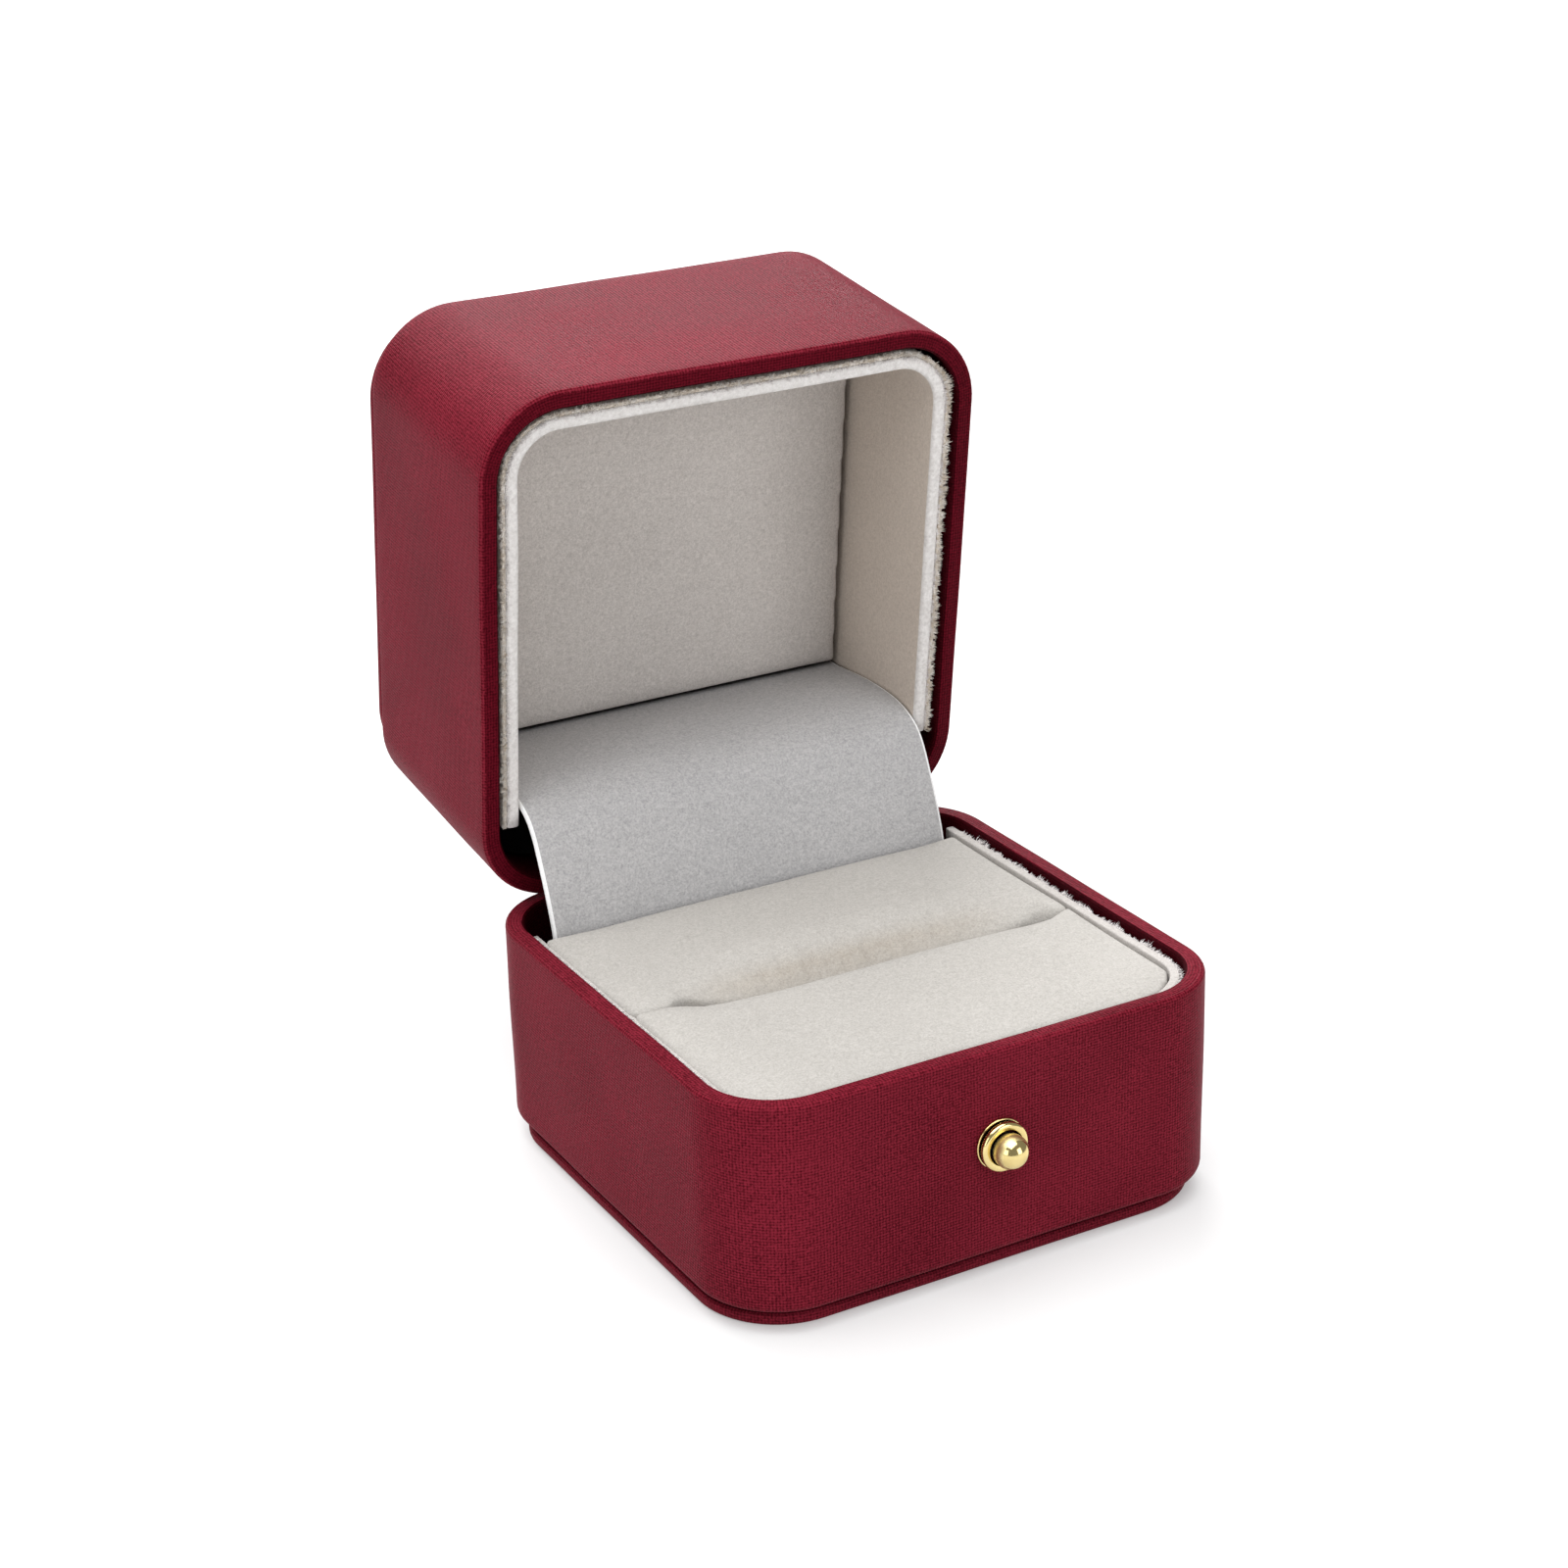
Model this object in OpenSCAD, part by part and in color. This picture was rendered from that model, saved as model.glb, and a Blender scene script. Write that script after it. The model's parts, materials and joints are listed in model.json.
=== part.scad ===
// Jewelry gift box: a leatherette ring box with a velvet pad, a sprung lid and a push button.
// The origin is the middle of the underside. +Z is up, the front faces -Y, and the lid stands open.

/* [Case] */
// Width of the case, side to side
case_w = 60; // [56:0.5:66]
// Depth of the case, front to back
case_d = 60; // [56:0.5:66]
// Height of the base, from the table to its rim
base_h = 25.6; // [24.5:0.1:28]
// Height of the lid, from its rim to its top
lid_h = 31.1; // [29:0.1:34]
// Radius of the four upright corners
corner_r = 9.5; // [8:0.1:12]
// Thickness of the moulded core of each shell
core_t = 1.1; // [0.9:0.05:1.2]
// Thickness of the leatherette wrapped round the core
wrap_t = 0.5; // [0.4:0.05:0.5]
// Radius of the outer edge of each rim
rim_r = 0.5; // [0.5:0.05:0.8]
// Distance between the two rims when the lid is shut
rim_gap = 0.1; // [0.05:0.05:0.2]

/* [Cover plates] */
// Thickness of the wrapped board under the base and on top of the lid
plate_t = 1.5; // [1.2:0.1:2]
// How far the board stands in from the front and the back of the case
plate_inset = 1.4; // [1:0.1:2]
// How far the board stands in from the two sides of the case
plate_side_inset = 0.7; // [0.5:0.1:2]
// Height of the groove between the board and the shell
groove_h = 0.8; // [0.5:0.1:1]

/* [Lining] */
// Gap between the base shell and its lining strip
base_liner_gap = 0.6; // [0.4:0.1:0.8]
// Thickness of the lining strip in the base
base_liner_t = 1.0; // [0.8:0.1:1.2]
// Gap between the lid shell and its lining strip
lid_liner_gap = 0.8; // [0.7:0.1:1]
// Thickness of the lining strip in the lid
lid_liner_t = 1.8; // [1.2:0.1:1.8]
// Depth of the lid pad below the lid rim
lid_pad_depth = 17.8; // [14:0.1:19]
// Height of the top of the ring pad below the base rim
pad_drop = 1.2; // [1:0.1:2.5]
// Width of the ring slot
slot_w = 1.8; // [1.2:0.1:2.5]
// Distance of the front edge of the ring slot from the middle of the case
slot_y = -3.6; // [-5:0.1:-2]

/* [Hinge] */
// Angle between the shut and the open lid
open_angle = 82.5; // [0:0.5:82.5]
// Distance of the hinge axis from the back of the case
hinge_inset = 1.1; // [1.1:0.05:1.2]
// Height of the hinge axis above the base rim
hinge_rise = 1.25; // [1.2:0.05:1.3]
// Length of the hinge
hinge_l = 40; // [36:1:41]
// Width of the velvet flap over the hinge
flap_w = 50.2; // [46:0.2:50.2]

/* [Button] */
// Height of the middle of the button above the table
button_z = 15.0; // [14.5:0.1:15.5]
// Radius of the ball
ball_r = 1.82; // [1.7:0.02:1.88]
// Radius of the collar round the ball
collar_r = 2.75; // [2.7:0.05:3]

/* [Hidden] */
$fn = 48;
eps = 0.01;

// Colours
burgundy = [0.40, 0.09, 0.13];
cream = [0.86, 0.83, 0.79];
pale_grey = [0.76, 0.75, 0.76];
gold = [0.83, 0.66, 0.27];
steel = [0.62, 0.63, 0.65];
black = [0.12, 0.11, 0.12];
card = [0.62, 0.52, 0.40];
foam = [0.88, 0.87, 0.84];

// Shells: every inset is measured inwards from the side of the case
core_in = wrap_t + core_t;
wall_t = core_in + wrap_t;
shell_z = plate_t + groove_h;
foot_r = 1.0;
floor_t = 1.1;
floor_top = shell_z + wrap_t + floor_t;
step_in = wall_t + 0.5;
lip_depth = 6;
lip_r = 0.4;
plate_edge_r = 0.7;
clear = 0.05;

// Lining
base_liner_in = wall_t + base_liner_gap;
base_liner_inner = base_liner_in + base_liner_t;
base_liner_drop = 0.8;
base_liner_tail = 1.5;
lid_liner_in = wall_t + lid_liner_gap;
lid_liner_inner = lid_liner_in + lid_liner_t;
lid_liner_drop = 0.6;
pad_top = base_h - pad_drop;
pad_clear = 0.1;
pad_rear_y = 20;
pad_dip = 2.5;
pad_dip_l = 6;
tray_t = 1.0;
tray_wall_y = 21.1;
tray_wall_t = 0.8;
lid_pad_t = 3;
lid_pad_rear_y = 19.3;

// Hinge
hinge_y = case_d / 2 - hinge_inset;
hinge_z = base_h + hinge_rise;
knuckle_r = 1.0;
pin_r = 0.5;
pin_clear = 0.03;
leaf_t = 0.4;
leaf_h = 5.4;
leaf_y = case_d / 2 - wall_t - leaf_t;
knuckle_gap = 0.2;
spring_l = 8;
knuckle_l = (hinge_l - spring_l) / 4;
hinge_rivet_x = 15;
hinge_rivet_z = 3.2;
notch_h = 2.5;
flap_t = 0.8;

// Springs: both are wound from one ring of points per step
wire_sides = 8;
steps_per_turn = 16;

// Button, along Y; face_y is the front of the case
face_y = -case_d / 2;
washer_t = 0.3;
washer_r = 2.8;
waist_r = 2.5;
waist_l = 0.2;
collar_l = 0.9;
collar_edge_r = 0.3;
cup_r = 1.94;
neck_r = 2.4;
neck_end_y = face_y + 2.8;
cup_floor_y = face_y + 1.7;
stem_r = 0.7;
stem_clear = 0.05;
ball_y = face_y - 2.3;
ball_back = 0.7;
stem_end_y = face_y + 3.4;
clip_r = 1.3;
clip_t = 0.3;
clip_y = neck_end_y + 0.05;
nut_r = 3.3;
nut_y = face_y + core_in;
pocket_r = nut_r + 0.4;
pocket_y = face_y + 5.2;

// ---------- outlines and sweeps ----------

// The outline of the case, or of another size, taken in by an inset all round
module outline(inset, width = case_w, depth = case_d) {
    w = width - 2 * inset;
    d = depth - 2 * inset;
    r = corner_r - inset;
    square([w - 2 * r, d], center = true);
    square([w, d - 2 * r], center = true);
    for (x = [-1, 1], y = [-1, 1])
        translate([x * (w / 2 - r), y * (d / 2 - r)])
            circle(r);
}

// A bar from [u0, z0] to [u1, z1] with a radius on its outer foot, outer top and inner top
module rounded_bar(u0, u1, z0, z1, foot, outer_top, inner_top) {
    difference() {
        translate([u0, z0])
            square([u1 - u0, z1 - z0]);
        corner_cut(u0, z0, 1, 1, foot);
        corner_cut(u0, z1, 1, -1, outer_top);
        corner_cut(u1, z1, -1, -1, inner_top);
    }
}

// What rounding takes off the corner at [u, z]; the signs point into the bar
module corner_cut(u, z, su, sz, r) {
    if (r > 0)
        difference() {
            translate([u + su * r / 2 - su * eps, z + sz * r / 2 - sz * eps])
                square(r + 2 * eps, center = true);
            translate([u + su * r, z + sz * r])
                circle(r);
        }
}

// Sweeps a section of inset and height round the sides in the list; 0 is the front, 1 the right
module sweep_sides(sides, corners, width = case_w, depth = case_d) {
    for (s = sides) {
        side_l = (s % 2 == 0 ? width : depth) - 2 * corner_r;
        rotate(90 * s)
            translate([-side_l / 2, -(s % 2 == 0 ? depth : width) / 2, 0])
                rotate([90, 0, 90])
                    linear_extrude(side_l)
                        children();
    }
    for (c = corners)
        translate([corner_sign_x(c) * (width / 2 - corner_r), corner_sign_y(c) * (depth / 2 - corner_r), 0])
            rotate(90 * c - 90)
                rotate_extrude(angle = 90)
                    translate([corner_r, 0])
                        mirror([1, 0])
                            children();
}

// Corner 0 is front right, and the others follow anticlockwise
function corner_sign_x(c) = c == 0 || c == 1 ? 1 : -1;
function corner_sign_y(c) = c == 0 || c == 3 ? -1 : 1;

all_round = [0, 1, 2, 3];
three_sides = [0, 1, 3];
front_corners = [0, 3];

// Turns a cylinder's axis to -Y, so that its height runs from y towards the front
module along_y(y) {
    translate([0, y, button_z])
        rotate([-90, 0, 0])
            children();
}

// Extrudes a drawing of Y and Z along X, centred on the middle of the case
module across(width) {
    translate([-width / 2, 0, 0])
        rotate([90, 0, 90])
            linear_extrude(width)
                children();
}

// Places what is drawn up from the lid rim on the open lid
module on_lid() {
    translate([0, hinge_y, hinge_z])
        rotate([-open_angle, 0, 0])
            translate([0, -hinge_y, base_h + rim_gap - hinge_z])
                children();
}

// Turns a shell or plate drawn as a base over, to be a lid of height lid_h
module as_lid() {
    on_lid()
        translate([0, 0, lid_h])
            mirror([0, 0, 1])
                children();
}

// ---------- shells, drawn as a base of height h ----------

module core_section(h) {
    rounded_bar(wrap_t, core_in, shell_z + wrap_t, h - wrap_t, foot_r - wrap_t, rim_r - wrap_t, 0);
}

module shell_core(h) {
    sweep_sides(all_round, all_round)
        core_section(h);
    translate([0, 0, shell_z + wrap_t])
        linear_extrude(floor_t)
            outline(core_in - 0.3);
    translate([0, 0, plate_t])
        linear_extrude(shell_z + wrap_t - plate_t + eps)
            outline(step_in);
}

// The wrap covers the outside, goes over the rim to the lip, and turns in under the foot
module shell_wrap(h) {
    sweep_sides(all_round, all_round)
        difference() {
            union() {
                rounded_bar(0, wall_t, shell_z, h, foot_r, rim_r, lip_r);
                translate([foot_r, shell_z])
                    square([step_in - foot_r, wrap_t]);
            }
            core_section(h);
            translate([core_in, shell_z + wrap_t])
                square([wall_t, h - lip_depth - shell_z - wrap_t]);
        }
}

module cover_plate() {
    w = case_w - 2 * plate_side_inset;
    d = case_d - 2 * plate_inset;
    sweep_sides(all_round, all_round, w, d)
        difference() {
            square([3, plate_t]);
            corner_cut(0, 0, 1, 1, plate_edge_r);
            corner_cut(0, plate_t, 1, -1, 0.4);
        }
    linear_extrude(plate_t)
        outline(2, w, d);
}

// Room for the nut and the stem behind the front of the base
module button_pocket() {
    along_y(face_y + core_in)
        cylinder(h = pocket_y - face_y - core_in, r = pocket_r);
}

// Holes for the hinge rivets, from y0 to the back; z is the rivets' height
module hinge_rivet_holes(y0, z) {
    for (x = [-1, 0, 1])
        translate([x * hinge_rivet_x, y0, z])
            rotate([-90, 0, 0])
                cylinder(h = case_d / 2 - wrap_t - y0, r = 0.6 + eps);
}

// Height of the rivets in the base, and above the rim in the lid
base_rivet_z = base_h - hinge_rivet_z;

// ---------- base ----------

module base_core() color(black)
    difference() {
        shell_core(base_h);
        along_y(face_y - 1)
            cylinder(h = 5, r = neck_r + clear);
        hinge_rivet_holes(leaf_y - 1, base_rivet_z);
    }

module base_wrap() color(burgundy)
    difference() {
        shell_wrap(base_h);
        along_y(face_y - 1)
            cylinder(h = 5, r = neck_r + clear);
        hinge_rivet_holes(leaf_y - 1, base_rivet_z);
    }

module base_plate() color(burgundy)
    cover_plate();

// The strip's straight ends run on a little past the start of the rear corners
module base_liner() color(cream)
    difference() {
        union() {
            sweep_sides(three_sides, front_corners)
                translate([base_liner_in, floor_top])
                    square([base_liner_t, base_h - base_liner_drop - floor_top]);
            for (x = [base_liner_in - case_w / 2, case_w / 2 - base_liner_inner])
                translate([x, case_d / 2 - corner_r - 1, floor_top])
                    cube([base_liner_t, base_liner_tail + 1, base_h - base_liner_drop - floor_top]);
        }
        button_pocket();
    }

// A card tray: a floor, and a wall between the pad and the hinge
module pad_tray() color(card) {
    w = case_w - 2 * (base_liner_inner + pad_clear);
    translate([-w / 2, -20, floor_top])
        cube([w, tray_wall_y + tray_wall_t + 20, tray_t]);
    translate([-w / 2, tray_wall_y, floor_top])
        cube([w, tray_wall_t, pad_top - 2 - floor_top]);
}

module pad_front() color(foam)
    difference() {
        translate([0, 0, floor_top + tray_t])
            linear_extrude(pad_top - floor_top - tray_t)
                intersection() {
                    outline(base_liner_inner + pad_clear);
                    translate([-case_w / 2, -case_d / 2])
                        square([case_w, case_d / 2 + slot_y]);
                }
        button_pocket();
    }

// The rear half, with its lip dipping to the slot
module pad_rear() color(foam) {
    y0 = slot_y + slot_w;
    across(case_w - 2 * (base_liner_inner + pad_clear))
        polygon(concat(
            [[pad_rear_y, pad_top], [pad_rear_y, floor_top + tray_t], [y0, floor_top + tray_t]],
            [for (k = [0 : 6]) [y0 + pad_dip_l * k / 6, pad_top - pad_dip * pow(1 - k / 6, 2)]]));
}

// ---------- lid ----------

// The hinge barrel lies in a notch in the back of the lid
module hinge_notch() {
    translate([-hinge_l / 2 - 0.3, case_d / 2 - 4, lid_h - notch_h])
        cube([hinge_l + 0.6, 8, notch_h + 1]);
}

// The lid's back edge is rounded about the hinge axis, so that it clears the base as it turns
module rear_relief() {
    axis_z = lid_h - hinge_rise + rim_gap;
    translate([-case_w / 2, hinge_y, axis_z])
        difference() {
            cube([case_w, case_d, hinge_rise + 1]);
            rotate([0, 90, 0])
                cylinder(h = case_w, r = hinge_rise - 0.06);
        }
}

module lid_core() color(black)
    as_lid()
        difference() {
            shell_core(lid_h);
            hinge_notch();
            hinge_rivet_holes(leaf_y - 1, lid_h - lid_rivet_z);
        }

module lid_wrap() color(burgundy)
    as_lid()
        difference() {
            shell_wrap(lid_h);
            hinge_notch();
            rear_relief();
            hinge_rivet_holes(leaf_y - 1, lid_h - lid_rivet_z);
        }

module lid_plate() color(burgundy)
    as_lid()
        cover_plate();

module lid_liner() color(cream)
    as_lid()
        sweep_sides(three_sides, front_corners)
            translate([lid_liner_in, floor_top])
                square([lid_liner_t, lid_h - lid_liner_drop - floor_top]);

module lid_pad_outline() {
    intersection() {
        outline(lid_liner_inner + pad_clear);
        translate([-case_w / 2, -case_d / 2])
            square([case_w, case_d / 2 + lid_pad_rear_y]);
    }
}

module lid_pad() color(cream)
    on_lid()
        translate([0, 0, lid_pad_depth])
            linear_extrude(lid_pad_t)
                lid_pad_outline();

module lid_foam() color(foam)
    on_lid()
        translate([0, 0, lid_pad_depth + lid_pad_t])
            linear_extrude(lid_h - floor_top - lid_pad_depth - lid_pad_t)
                offset_pad();

// The foam block is smaller than the pad that it carries
module offset_pad() {
    translate([0, (lid_pad_rear_y - case_d / 2 + lid_liner_inner) / 2])
        square([case_w - 2 * lid_liner_inner - 8, 36], center = true);
}

// ---------- hinge ----------

// Middle line of the flap: from behind the ring pad, up over the hinge, and under the lid pad
flap_bottom = [tray_wall_y - 0.5, 9];
flap_knee = [tray_wall_y - 0.5, pad_top + 0.2];
flap_bend = [25.9, 36.4];
flap_turn = [32.8, 38.3];
flap_end = [46.2, 37.6];
bend_steps = 12;

// A quadratic curve from a to c that heads for b
function curve(a, b, c, n) =
    [for (k = [0 : n]) let (t = k / n) pow(1 - t, 2) * a + 2 * t * (1 - t) * b + t * t * c];

flap_line = concat(
    [flap_bottom],
    curve(flap_knee - [0, 3], flap_knee, flap_knee + 0.25 * (flap_bend - flap_knee), 4),
    curve(flap_knee + 0.62 * (flap_bend - flap_knee), flap_bend + [1.0, 2.0], flap_turn, bend_steps),
    [flap_end]);

function unit(v) = v / norm(v);
function side_of(path, k) =
    let (a = path[max(k - 1, 0)], b = path[min(k + 1, len(path) - 1)], t = unit(b - a)) [-t[1], t[0]];

// A strip of thickness t along a path of Y and Z
module strip(path, t) {
    n = len(path);
    polygon(concat(
        [for (k = [0 : n - 1]) path[k] + side_of(path, k) * t / 2],
        [for (k = [n - 1 : -1 : 0]) path[k] - side_of(path, k) * t / 2]));
}

module hinge_flap() color(pale_grey)
    across(flap_w)
        strip(flap_line, flap_t);

// One leaf and its knuckles, drawn with the leaf hanging down from the axis at the origin
module leaf(knuckles, hole_r) {
    leaf_from_axis = leaf_y - hinge_y;
    top = -hinge_rise + 0.1;
    difference() {
        union() {
            translate([-hinge_l / 2, leaf_from_axis, top - leaf_h])
                cube([hinge_l, leaf_t, leaf_h]);
            for (x = knuckles) {
                translate([x, 0, 0])
                    rotate([0, 90, 0])
                        cylinder(h = knuckle_l - knuckle_gap, r = knuckle_r);
                translate([x, leaf_from_axis, top - eps])
                    cube([knuckle_l - knuckle_gap, leaf_t + 0.3, eps - top]);
            }
        }
        translate([-hinge_l, 0, 0])
            rotate([0, 90, 0])
                cylinder(h = 2 * hinge_l, r = hole_r);
        for (x = [-1, 0, 1])
            translate([x * hinge_rivet_x, leaf_from_axis - 1, base_rivet_z - hinge_z])
                rotate([-90, 0, 0])
                    cylinder(h = 3, r = 0.6 + eps);
    }
}

outer_knuckles = [-hinge_l / 2, hinge_l / 2 - knuckle_l + knuckle_gap];
inner_knuckles = [-spring_l / 2 - knuckle_l + knuckle_gap / 2, spring_l / 2 + knuckle_gap / 2];

module base_leaf() color(gold)
    translate([0, hinge_y, hinge_z])
        leaf(outer_knuckles, pin_r);

// The same leaf turned over, so its rivets lie as far above the axis as the base's lie below it
lid_rivet_z = 2 * hinge_z - base_rivet_z - base_h - rim_gap;

module lid_leaf() color(gold)
    translate([0, hinge_y, hinge_z])
        rotate([-open_angle, 0, 0])
            mirror([0, 0, 1])
                leaf(inner_knuckles, pin_r + pin_clear);

module hinge_rivets(z) {
    for (x = [-1, 0, 1])
        translate([x * hinge_rivet_x, leaf_y, z])
            rotate([-90, 0, 0]) {
                translate([0, 0, -0.4])
                    cylinder(h = 0.4, r = 1.2);
                cylinder(h = case_d / 2 - wrap_t - 0.1 - leaf_y, r = 0.6);
            }
}

module base_leaf_rivets() color(gold)
    hinge_rivets(base_rivet_z);

module lid_leaf_rivets() color(gold)
    on_lid()
        hinge_rivets(lid_rivet_z);

module hinge_pin() color(steel)
    translate([-hinge_l / 2, hinge_y, hinge_z])
        rotate([0, 90, 0])
            cylinder(h = hinge_l, r = pin_r);

// A wire of round section along a path; across_dir is a direction that the path never follows
module wire(path, r, across_dir) {
    n = len(path);
    rings = [for (k = [0 : n - 1])
        let (
            t = unit(path[min(k + 1, n - 1)] - path[max(k - 1, 0)]),
            a = unit(across_dir - (across_dir * t) * t),
            b = cross(t, a)
        )
        for (j = [0 : wire_sides - 1])
            path[k] + r * (a * cos(360 * j / wire_sides) + b * sin(360 * j / wire_sides))];
    s = wire_sides;
    polyhedron(
        points = rings,
        faces = concat(
            [[for (j = [s - 1 : -1 : 0]) j]],
            [for (k = [0 : n - 2], j = [0 : s - 1])
                [k * s + j, k * s + (j + 1) % s, (k + 1) * s + (j + 1) % s, (k + 1) * s + j]],
            [[for (j = [0 : s - 1]) (n - 1) * s + j]]));
}

// Points of a coil about X, from x0 to x1, starting at an angle above +Y
function coil(x0, x1, r, turns, start) =
    [for (k = [0 : turns * steps_per_turn])
        let (f = k / (turns * steps_per_turn), a = start + 360 * turns * f)
        [x0 + (x1 - x0) * f, r * cos(a), r * sin(a)]];

// A torsion spring on the pin: one leg lies on the base leaf, the other on the lid leaf
module hinge_spring() color(steel) {
    coil_r = 0.74;
    wire_r = 0.17;
    leg = leaf_y - hinge_y - wire_r - 0.02;
    leg_l = 4.6;
    lid_turn = -open_angle;
    lid_leg = [for (p = [[leg * 0.6, coil_r], [leg, coil_r + 0.2], [leg, leg_l]])
        [spring_l / 2 - 0.7, p[0] * cos(lid_turn) - p[1] * sin(lid_turn), p[0] * sin(lid_turn) + p[1] * cos(lid_turn)]];
    base_leg = [for (p = [[leg, -leg_l], [leg, -coil_r - 0.2], [leg * 0.6, -coil_r]])
        [-spring_l / 2 + 0.7, p[0], p[1]]];
    turns = 9.5 - open_angle / 360;
    translate([0, hinge_y, hinge_z])
        wire(concat(base_leg, coil(-spring_l / 2 + 0.7, spring_l / 2 - 0.7, coil_r, turns, 270), lid_leg), wire_r, [1, 0, 0]);
}

// ---------- button ----------

module button_washer() color(gold)
    along_y(face_y - washer_t)
        difference() {
            cylinder(h = washer_t, r = washer_r);
            translate([0, 0, -1])
                cylinder(h = 2, r = neck_r + clear);
        }

// The collar is a bead round the ball, a waist, and a neck through the wall
module button_collar() color(gold) {
    bead_back = washer_t + waist_l;
    along_y(face_y)
        rotate_extrude()
            difference() {
                union() {
                    translate([0, -bead_back - collar_l])
                        square([neck_r, neck_end_y - face_y + bead_back + collar_l]);
                    translate([0, -bead_back])
                        square([waist_r, waist_l]);
                    translate([0, -bead_back - collar_l])
                        square([collar_r - collar_edge_r, collar_l]);
                    translate([0, -bead_back - collar_l + collar_edge_r])
                        square([collar_r, collar_l - 2 * collar_edge_r]);
                    for (z = [collar_edge_r, collar_l - collar_edge_r])
                        translate([collar_r - collar_edge_r, -bead_back - z])
                            circle(collar_edge_r);
                }
                translate([0, -bead_back - collar_l - 1])
                    square([cup_r, bead_back + collar_l + 1 + cup_floor_y - face_y]);
                translate([0, 0])
                    square([stem_r + stem_clear, 10]);
            }
}

module button_nut() color(steel)
    along_y(nut_y)
        difference() {
            cylinder(h = neck_end_y - nut_y, r = nut_r, $fn = 6);
            translate([0, 0, -1])
                cylinder(h = 4, r = neck_r);
        }

// The ball is cut flat at the back, where its spring bears on it
module button_plunger() color(gold) {
    along_y(ball_y)
        rotate_extrude()
            intersection() {
                circle(ball_r);
                translate([0, -ball_r])
                    square([ball_r, ball_r + ball_back]);
            }
    along_y(ball_y)
        cylinder(h = stem_end_y - ball_y, r = stem_r);
}

module button_clip() color(steel)
    along_y(clip_y)
        difference() {
            cylinder(h = clip_t, r = clip_r);
            translate([0, 0, -1])
                cylinder(h = 2, r = stem_r);
            translate([-0.5, 0, -1])
                cube([1, 2, 2]);
        }

module button_spring() color(steel) {
    coil_r = 1.4;
    wire_r = 0.15;
    y0 = ball_y + ball_back + wire_r + 0.03;
    y1 = cup_floor_y - wire_r - 0.03;
    translate([0, 0, button_z])
        rotate([0, 0, 90])
            wire(coil(y0, y1, coil_r, 4, 0), wire_r, [1, 0, 0]);
}

base_core();
base_wrap();
base_plate();
base_liner();
pad_tray();
pad_front();
pad_rear();
lid_core();
lid_wrap();
lid_plate();
lid_liner();
lid_pad();
lid_foam();
hinge_flap();
base_leaf();
base_leaf_rivets();
lid_leaf();
lid_leaf_rivets();
hinge_pin();
hinge_spring();
button_washer();
button_collar();
button_nut();
button_plunger();
button_clip();
button_spring();
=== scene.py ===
import json
import math
import random

import bmesh
import bpy
import numpy as np
from mathutils import Matrix, Vector, noise


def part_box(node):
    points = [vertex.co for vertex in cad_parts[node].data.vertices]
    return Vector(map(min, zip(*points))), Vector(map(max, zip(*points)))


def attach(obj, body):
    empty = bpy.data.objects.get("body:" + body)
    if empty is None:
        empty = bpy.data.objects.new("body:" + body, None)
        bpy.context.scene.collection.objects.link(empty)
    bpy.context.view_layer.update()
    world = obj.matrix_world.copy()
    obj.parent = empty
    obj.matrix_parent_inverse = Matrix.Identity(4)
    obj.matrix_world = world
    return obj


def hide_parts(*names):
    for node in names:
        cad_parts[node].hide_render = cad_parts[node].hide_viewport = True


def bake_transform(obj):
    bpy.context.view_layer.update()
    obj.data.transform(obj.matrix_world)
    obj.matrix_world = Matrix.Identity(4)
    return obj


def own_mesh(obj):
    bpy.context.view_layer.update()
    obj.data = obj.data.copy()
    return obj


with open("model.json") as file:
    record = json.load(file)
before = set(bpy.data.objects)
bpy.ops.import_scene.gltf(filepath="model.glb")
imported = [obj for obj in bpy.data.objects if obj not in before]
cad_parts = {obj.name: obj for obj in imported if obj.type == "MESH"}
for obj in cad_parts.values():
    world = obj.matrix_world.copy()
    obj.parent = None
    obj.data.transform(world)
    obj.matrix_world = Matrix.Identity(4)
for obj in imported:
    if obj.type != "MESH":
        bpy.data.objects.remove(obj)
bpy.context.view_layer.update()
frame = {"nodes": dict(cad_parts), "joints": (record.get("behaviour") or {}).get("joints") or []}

# ---------------------------------------------------------------- sizes
# Everything below is drawn in millimetres and made into metres as its mesh is built.
MM = 0.001


def box_mm(node):
    """The low and high corners of a CAD node's box."""
    low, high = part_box(node)
    return [v / MM for v in low], [v / MM for v in high]


wrap_low, wrap_high = box_mm("base_wrap")
CASE_W = wrap_high[0] - wrap_low[0]
CASE_D = wrap_high[1] - wrap_low[1]
SHELL_Z = wrap_low[2]
BASE_H = wrap_high[2]
BACK = CASE_D / 2
FRONT = -CASE_D / 2
PLATE_T = box_mm("base_plate")[1][2]
CORNER_R = 9.5
WALL_T = 2.1
RIM_R = 0.5
FOOT_R = 1.0
HINGE_L = 40
NOTCH_DEPTH = 2.5

lid_joint = next(j for j in frame["joints"] if j["name"] == "lid_hinge")
HINGE_Y = lid_joint["pos_m"][1] / MM
HINGE_Z = lid_joint["pos_m"][2] / MM
OPEN = math.radians(lid_joint["range_deg"][1])
LID_H = 31.1
RIM_GAP = 0.1

washer_low, washer_high = box_mm("button_washer")
collar_low, collar_high = box_mm("button_collar")
ball_low, ball_high = box_mm("button_plunger")
nut_low, nut_high = box_mm("button_nut")
BUTTON_Z = (collar_low[2] + collar_high[2]) / 2
BUTTON = (0, 0, BUTTON_Z)
NUT_ROOM = (nut_high[0] - nut_low[0]) / 2 + 0.3

# Maps a point measured from the shut lid's rim, in millimetres, to its place on the open lid.
LID = (
    Matrix.Translation((0, HINGE_Y, HINGE_Z))
    @ Matrix.Rotation(-OPEN, 4, "X")
    @ Matrix.Translation((0, -HINGE_Y, BASE_H + RIM_GAP - HINGE_Z))
)
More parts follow.
